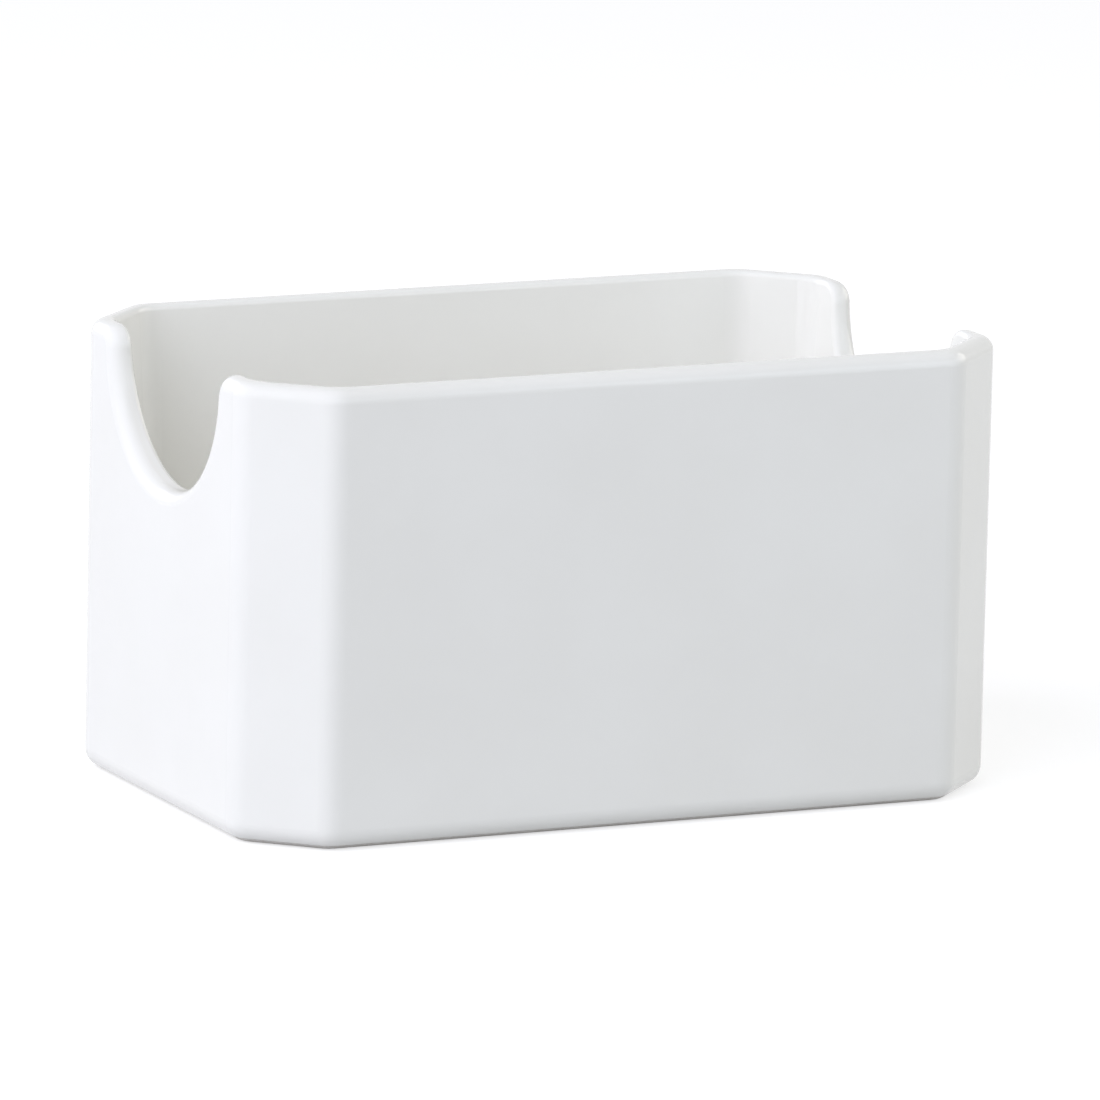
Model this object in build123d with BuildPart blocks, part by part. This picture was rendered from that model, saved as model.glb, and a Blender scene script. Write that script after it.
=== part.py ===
from build123d import *
from math import hypot, sqrt
import os

# White ceramic holder for sugar packets: an open box with cut corners and two finger scoops.
# Millimetres. +X runs along the long side, +Z is up, the origin is under the middle of the foot.

# Glazed outside
length = 102.0
width = 63.5
height = 56.6
corner_cut_x = 9.1
corner_cut_y = 8.6
edge_round = 4.0
foot_round = 2.6

# Walls and cavity: the wall is measured at the rim and thickens downwards by the draft
wall = 2.8
draft_angle = 3.0
floor = 5.0
cavity_edge_round = 5.0
floor_round = 2.0
rim_flat = 0.2
rim_outer_share = 0.7

# Finger scoops
scoop_radius = 15.8
scoop_depth = 17.3
scoop_corner = 2.8

# Foot ring and the recess inside it
foot_ring_width = 4.0
recess_depth = 1.2
recess_corner_round = 4.0
recess_edge_round = 0.8

# Glaze, and the height of the foot that is wiped bare of it
glaze = 0.3
bare_height = 0.7

# Values that follow from the sizes above
rim_outer_round = (wall - rim_flat) * rim_outer_share
rim_inner_round = wall - rim_flat - rim_outer_round
scoop_centre_height = height - scoop_depth + scoop_radius
corner_centre_height = height - scoop_corner
recess_inset = foot_round + foot_ring_width
ring_middle_inset = foot_round + foot_ring_width / 2
underside_reach = (floor + recess_depth) / 2
steep = 0.5


def plan(inset, corner_round):
    """The holder's plan with its sides moved in by inset, as a face with rounded corners."""
    slant = hypot(corner_cut_x, corner_cut_y)
    half_x = length / 2 - inset
    half_y = width / 2 - inset
    side_x = half_x - corner_cut_x + inset * (1 - (slant - corner_cut_x) / corner_cut_y)
    side_y = half_y - corner_cut_y + inset * (1 - (slant - corner_cut_y) / corner_cut_x)
    right = [(side_x, -half_y), (half_x, -side_y), (half_x, side_y), (side_x, half_y)]
    left = [(-x, -y) for x, y in right]
    with BuildSketch() as outline:
        Polygon(*right, *left, align=None)
        fillet(outline.vertices(), radius=corner_round)
    return outline.sketch


def scoop_opening(inset):
    """A finger scoop's opening seen along X, as a face with its edge moved into the clay by inset."""
    corner = scoop_corner - inset
    span = scoop_radius + scoop_corner
    rise = scoop_centre_height - corner_centre_height
    reach = sqrt(span**2 - rise**2)
    rim = corner_centre_height + corner
    bottom = height - scoop_depth - inset
    side_y = reach * (1 - corner / span)
    side_z = corner_centre_height + rise * corner / span
    with BuildSketch() as opening:
        with BuildLine():
            ThreePointArc((-side_y, side_z), (0, bottom), (side_y, side_z))
            TangentArc((reach, rim), (side_y, side_z), tangent=(-1, 0))
            TangentArc((-reach, rim), (-side_y, side_z), tangent=(1, 0))
            Polyline((reach, rim), (reach, rim + wall), (-reach, rim + wall), (-reach, rim))
        make_face()
    return opening.sketch


def holder_form(inset):
    """The whole holder, with every surface but the standing one moved into the clay by inset."""
    outside = plan(inset, edge_round - inset)
    cavity = plan(wall - inset, cavity_edge_round + inset)
    scoop = scoop_opening(inset)
    recess = plan(recess_inset - inset, recess_corner_round + inset)
    with BuildPart() as form:
        with BuildSketch():
            add(outside)
        extrude(amount=height - inset)
        with BuildSketch(Plane.XY.offset(height - inset)):
            add(cavity)
        extrude(amount=height - floor, dir=(0, 0, -1), taper=draft_angle, mode=Mode.SUBTRACT)
        with BuildSketch(Plane.YZ):
            add(scoop)
        extrude(amount=length, both=True, mode=Mode.SUBTRACT)

        # Where the walls end: round the foot, round the cavity floor, and along the rim
        walls = form.faces().filter_by(lambda face: abs(face.normal_at().Z) < steep)
        level_edges = walls.edges() & (form.faces() - walls).edges()
        foot_edges = level_edges.group_by(Axis.Z)[0]
        floor_edges = level_edges.group_by(Axis.Z)[1]
        rim_edges = level_edges - foot_edges - floor_edges
        outer_walls = walls.filter_by(lambda face: face.bounding_box().min.Z < floor / 2)
        outer_rim_edges = rim_edges & outer_walls.edges()
        fillet(outer_rim_edges, radius=rim_outer_round - inset)
        fillet(rim_edges - outer_rim_edges, radius=rim_inner_round - inset)
        fillet(floor_edges, radius=floor_round + inset)
        fillet(foot_edges, radius=foot_round - inset)

        with BuildSketch():
            add(recess)
        extrude(amount=recess_depth + inset, mode=Mode.SUBTRACT)
        standing_face = form.faces().sort_by(Axis.Z)[0]
        fillet(standing_face.inner_wires().edges(), radius=recess_edge_round - inset)
    return form.part


# The fired clay: floor, walls, rim, scoops and foot ring in one piece
with BuildPart() as ceramic_body:
    add(holder_form(glaze))
ceramic_body.part.label = "ceramic_body"

# The glass layer over the clay, down to the bare foot, outside and under the floor
with BuildPart() as glass_layer:
    add(holder_form(0))
    add(ceramic_body.part, mode=Mode.SUBTRACT)
    split(bisect_by=Plane.XY.offset(bare_height), keep=Keep.TOP)

# The plan that parts the underside from the outside, along the middle of the foot ring
underside = plan(ring_middle_inset, edge_round)

# The glaze on the outside, over the rim and down the inside
with BuildPart() as glaze_coat:
    add(glass_layer.part)
    with BuildSketch():
        add(underside)
    extrude(amount=underside_reach, mode=Mode.SUBTRACT)
glaze_coat.part.label = "glaze_coat"

# The glaze in the recess under the floor, inside the bare foot ring
with BuildPart() as base_glaze:
    add(glass_layer.part)
    with BuildSketch():
        add(underside)
    extrude(amount=underside_reach, mode=Mode.INTERSECT)
base_glaze.part.label = "base_glaze"

os.makedirs("parts", exist_ok=True)
for piece in (ceramic_body, glaze_coat, base_glaze):
    export_step(piece.part, f"parts/{piece.part.label}.step")
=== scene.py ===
from math import cos, radians, sin
import bpy
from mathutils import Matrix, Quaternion, Vector

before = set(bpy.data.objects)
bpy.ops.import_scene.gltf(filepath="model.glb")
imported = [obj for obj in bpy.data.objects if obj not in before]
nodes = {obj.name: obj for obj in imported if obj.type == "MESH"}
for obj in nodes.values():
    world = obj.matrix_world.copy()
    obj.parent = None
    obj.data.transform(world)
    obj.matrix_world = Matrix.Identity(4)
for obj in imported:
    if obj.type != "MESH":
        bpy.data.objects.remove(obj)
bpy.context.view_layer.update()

# White ceramic holder for sugar packets: the finish of its three pieces, a floor, lamps and a camera.
# Metres and degrees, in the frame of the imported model: the front faces -Y and +Z is up.

MM = 0.001
WHITE = (1.0, 1.0, 1.0, 1.0)
FULL_RANGE = (0.0, 1.0)

# Camera, from the outline of the object in the photograph
CAMERA_AZIMUTH = 25.396
CAMERA_ELEVATION = 11.307
CAMERA_ROLL = 1.303
CAMERA_DISTANCE = 1416.6 * MM
CAMERA_TARGET = Vector((1.70, 0.09, 28.37)) * MM
CAMERA_SENSOR = 36.0
CAMERA_LENS = 374.3
CAMERA_NEAR = 0.05
CAMERA_FAR = 20.0

# White glaze; scales are in cells per metre, and each range is the part of the noise that is used
GLAZE_WHITE = (0.936, 0.926, 0.880, 1.0)
GLAZE_CLOUD = (0.920, 0.908, 0.860, 1.0)
GLAZE_IOR = 1.52
GLAZE_ROUGHNESS = (0.09, 0.14)
CLOUD_SCALE = 45.0
CLOUD_RANGE = (0.35, 0.70)
GLOSS_SCALE = 160.0
GLOSS_RANGE = (0.3, 0.7)
RIPPLE_SCALE = 38.0
RIPPLE_DEPTH = 0.25 * MM
PEEL_SCALE = 520.0
PEEL_DEPTH = 0.006 * MM

# Bare fired clay of the foot
CLAY_PALE = (0.82, 0.79, 0.74, 1.0)
CLAY_DARK = (0.72, 0.68, 0.62, 1.0)
CLAY_ROUGHNESS = (0.78, 0.95)
GRAIN_SCALE = 2600.0
GRAIN_ROUGHNESS = 0.7
GRAIN_DEPTH = 0.06 * MM
SPECK_RANGE = (0.42, 0.72)
BLOTCH_SCALE = 120.0
BLOTCH_RANGE = (0.3, 0.7)

# Floor and surround; the floor's lift shows to the eye and in reflections only
FLOOR_SIZE = 8.0
FLOOR_DROP = 0.05 * MM
FLOOR_GREY = (0.55, 0.55, 0.55, 1.0)
FLOOR_LIFT = 0.65
WORLD_COLOUR = (0.97, 0.985, 1.0, 1.0)
WORLD_LIGHT = 0.28
LAMP_AIM = Vector((0.0, 0.0, 0.02))

scene = bpy.context.scene


def add_camera():
    """The scene's camera, at the photograph's viewing angle."""
    yaw = radians(CAMERA_AZIMUTH)
    pitch = radians(CAMERA_ELEVATION)
    forward = Vector((sin(yaw) * cos(pitch), cos(yaw) * cos(pitch), -sin(pitch)))
    roll = Quaternion((0, 0, 1), radians(CAMERA_ROLL))
    data = bpy.data.cameras.new("camera")
    data.sensor_width = CAMERA_SENSOR
    data.lens = CAMERA_LENS
    data.clip_start = CAMERA_NEAR
    data.clip_end = CAMERA_FAR
    camera = bpy.data.objects.new("camera", data)
    scene.collection.objects.link(camera)
    camera.location = CAMERA_TARGET - forward * CAMERA_DISTANCE
    camera.rotation_mode = "QUATERNION"
    camera.rotation_quaternion = forward.to_track_quat("-Z", "Y") @ roll
    scene.camera = camera


def new_material(name):
    """A material with an empty node tree, and that tree."""
    material = bpy.data.materials.new(name)
    material.use_nodes = True
    material.node_tree.nodes.clear()
    return material, material.node_tree


def own_place(tree):
    """The object's own coordinates, in metres."""
    return tree.nodes.new("ShaderNodeTexCoord").outputs["Object"]


def noise(tree, place, scale, detail, roughness=0.5):
    """A noise texture's value at a place; scale is in cells per metre."""
    node = tree.nodes.new("ShaderNodeTexNoise")
    node.inputs["Scale"].default_value = scale
    node.inputs["Detail"].default_value = detail
    node.inputs["Roughness"].default_value = roughness
    tree.links.new(place, node.inputs["Vector"])
    return node.outputs["Fac"]


def remap(tree, value, source, target):
    """The value moved smoothly from the source range to the target range, and kept inside it."""
    node = tree.nodes.new("ShaderNodeMapRange")
    node.interpolation_type = "SMOOTHSTEP"
    node.inputs["From Min"].default_value, node.inputs["From Max"].default_value = source
    node.inputs["To Min"].default_value, node.inputs["To Max"].default_value = target
    tree.links.new(value, node.inputs["Value"])
    return node.outputs["Result"]


def blend(tree, factor, first, second):
    """A colour that goes from first to second with the factor."""
    node = tree.nodes.new("ShaderNodeMix")
    node.data_type = "RGBA"
    tree.links.new(factor, node.inputs["Factor"])
    ends = [socket for socket in node.inputs if socket.type == "RGBA"]
    for socket, colour in zip(ends, (first, second)):
        socket.default_value = colour
    return next(socket for socket in node.outputs if socket.type == "RGBA")


def bump(tree, height, depth, under=None):
    """A bump normal from a height, laid over another bump if one is given."""
    node = tree.nodes.new("ShaderNodeBump")
    node.inputs["Strength"].default_value = 1.0
    node.inputs["Distance"].default_value = depth
    tree.links.new(height, node.inputs["Height"])
    if under is not None:
        tree.links.new(under, node.inputs["Normal"])
    return node.outputs["Normal"]


def show(tree, shader):
    """The shader on the material's output."""
    output = tree.nodes.new("ShaderNodeOutputMaterial")
    tree.links.new(shader, output.inputs["Surface"])


def surface(tree, colour, roughness, normal):
    """A principled shader on the material's output."""
    shader = tree.nodes.new("ShaderNodeBsdfPrincipled")
    tree.links.new(colour, shader.inputs["Base Color"])
    tree.links.new(roughness, shader.inputs["Roughness"])
    tree.links.new(normal, shader.inputs["Normal"])
    show(tree, shader.outputs["BSDF"])
    return shader


def seen_by_eye(tree):
    """1 for rays that show the background, straight, mirrored or through glass; 0 for rays that light."""
    rays = tree.nodes.new("ShaderNodeLightPath")
    seen = rays.outputs["Is Camera Ray"]
    for kind in ("Is Glossy Ray", "Is Transmission Ray"):
        either = tree.nodes.new("ShaderNodeMath")
        either.operation = "MAXIMUM"
        tree.links.new(seen, either.inputs[0])
        tree.links.new(rays.outputs[kind], either.inputs[1])
        seen = either.outputs["Value"]
    return seen


def choose(tree, factor, first, second):
    """The first shader where the factor is 0, and the second where it is 1."""
    node = tree.nodes.new("ShaderNodeMixShader")
    tree.links.new(factor, node.inputs["Fac"])
    tree.links.new(first, node.inputs[1])
    tree.links.new(second, node.inputs[2])
    return node.outputs["Shader"]


def white_glaze():
    """White glaze: faint cloudiness, a gloss that varies a little, slow ripples and a fine orange peel."""
    material, tree = new_material("white_glaze")
    place = own_place(tree)
    cloud = remap(tree, noise(tree, place, CLOUD_SCALE, detail=3.0), CLOUD_RANGE, FULL_RANGE)
    gloss = remap(tree, noise(tree, place, GLOSS_SCALE, detail=2.0), GLOSS_RANGE, GLAZE_ROUGHNESS)
    ripple = bump(tree, noise(tree, place, RIPPLE_SCALE, detail=1.0), RIPPLE_DEPTH)
    peel = bump(tree, noise(tree, place, PEEL_SCALE, detail=1.0), PEEL_DEPTH, under=ripple)
    shader = surface(tree, blend(tree, cloud, GLAZE_WHITE, GLAZE_CLOUD), gloss, peel)
    shader.inputs["IOR"].default_value = GLAZE_IOR
    return material


def bare_clay():
    """Bare fired clay: warm, matt and finely grained."""
    material, tree = new_material("bare_clay")
    place = own_place(tree)
    grain = noise(tree, place, GRAIN_SCALE, detail=4.0, roughness=GRAIN_ROUGHNESS)
    blotch = noise(tree, place, BLOTCH_SCALE, detail=3.0)
    speck = remap(tree, grain, SPECK_RANGE, FULL_RANGE)
    dry = remap(tree, blotch, BLOTCH_RANGE, CLAY_ROUGHNESS)
    surface(tree, blend(tree, speck, CLAY_PALE, CLAY_DARK), dry, bump(tree, grain, GRAIN_DEPTH))
    return material


def white_paper():
    """The floor's paper: matt and pale; it looks white to the eye and still takes the object's shadow."""
    material, tree = new_material("white_paper")
    matt = tree.nodes.new("ShaderNodeBsdfDiffuse")
    matt.inputs["Color"].default_value = FLOOR_GREY
    lift = tree.nodes.new("ShaderNodeEmission")
    lift.inputs["Color"].default_value = WHITE
    lift.inputs["Strength"].default_value = FLOOR_LIFT
    lifted = tree.nodes.new("ShaderNodeAddShader")
    tree.links.new(matt.outputs["BSDF"], lifted.inputs[0])
    tree.links.new(lift.outputs["Emission"], lifted.inputs[1])
    show(tree, choose(tree, seen_by_eye(tree), matt.outputs["BSDF"], lifted.outputs["Shader"]))
    return material


def add_floor():
    """A large square floor, a hair below the foot."""
    half = FLOOR_SIZE / 2
    plan = ((-half, -half), (half, -half), (half, half), (-half, half))
    mesh = bpy.data.meshes.new("floor")
    mesh.from_pydata([(x, y, -FLOOR_DROP) for x, y in plan], [], [(0, 1, 2, 3)])
    mesh.materials.append(white_paper())
    floor = bpy.data.objects.new("floor", mesh)
    scene.collection.objects.link(floor)


def background(tree, colour, strength):
    """An even surround of one colour."""
    node = tree.nodes.new("ShaderNodeBackground")
    node.inputs["Color"].default_value = colour
    node.inputs["Strength"].default_value = strength
    return node.outputs["Background"]


def add_surround():
    """A surround that looks white to the eye and gives a dim even light."""
    world = bpy.data.worlds.new("studio")
    scene.world = world
    world.use_nodes = True
    tree = world.node_tree
    tree.nodes.clear()
    dim = background(tree, WORLD_COLOUR, WORLD_LIGHT)
    white = background(tree, WHITE, strength=1.0)
    output = tree.nodes.new("ShaderNodeOutputWorld")
    tree.links.new(choose(tree, seen_by_eye(tree), dim, white), output.inputs["Surface"])


def soft_box(name, azimuth, elevation, distance, size, power, colour):
    """An oblong lamp that faces the object; azimuth 0 is in front of it and 90 to its right."""
    turn = radians(azimuth)
    rise = radians(elevation)
    outward = Vector((sin(turn) * cos(rise), -cos(turn) * cos(rise), sin(rise)))
    data = bpy.data.lights.new(name, "AREA")
    data.shape = "RECTANGLE"
    data.size, data.size_y = size
    data.energy = power
    data.color = colour
    lamp = bpy.data.objects.new(name, data)
    scene.collection.objects.link(lamp)
    lamp.location = LAMP_AIM + outward * distance
    lamp.rotation_mode = "QUATERNION"
    lamp.rotation_quaternion = (-outward).to_track_quat("-Z", "Y")
    lamp.visible_camera = False
    return lamp


def add_lamps():
    """A large key lamp on the left, and weaker lamps in front, front right, right and behind."""
    key = soft_box("key", azimuth=-73, elevation=32, distance=1.15,
                   size=(1.6, 1.1), power=14.2, colour=(0.868, 0.888, 1.0))
    # Mirrored in the glaze, the key lamp would clip the rims to white in views from the far side
    key.visible_glossy = False
    soft_box("front_fill", azimuth=0, elevation=20, distance=1.20,
             size=(1.0, 0.6), power=1.2, colour=(0.84, 0.92, 1.0))
    soft_box("right_fill", azimuth=45, elevation=18, distance=0.55,
             size=(0.40, 0.30), power=0.46, colour=(0.84, 0.92, 1.0))
    soft_box("warm_side", azimuth=90, elevation=25, distance=1.10,
             size=(0.8, 0.6), power=2.9, colour=(1.0, 0.95, 0.91))
    soft_box("back_fill", azimuth=-150, elevation=20, distance=1.20,
             size=(1.0, 0.6), power=2.0, colour=(0.95, 0.97, 1.0))


add_camera()
glaze = white_glaze()
clay = bare_clay()
for name, material in (("glaze_coat", glaze), ("base_glaze", glaze), ("ceramic_body", clay)):
    mesh = nodes[name].data
    mesh.materials.clear()
    mesh.materials.append(material)
add_floor()
add_surround()
add_lamps()
scene.view_settings.view_transform = "Standard"
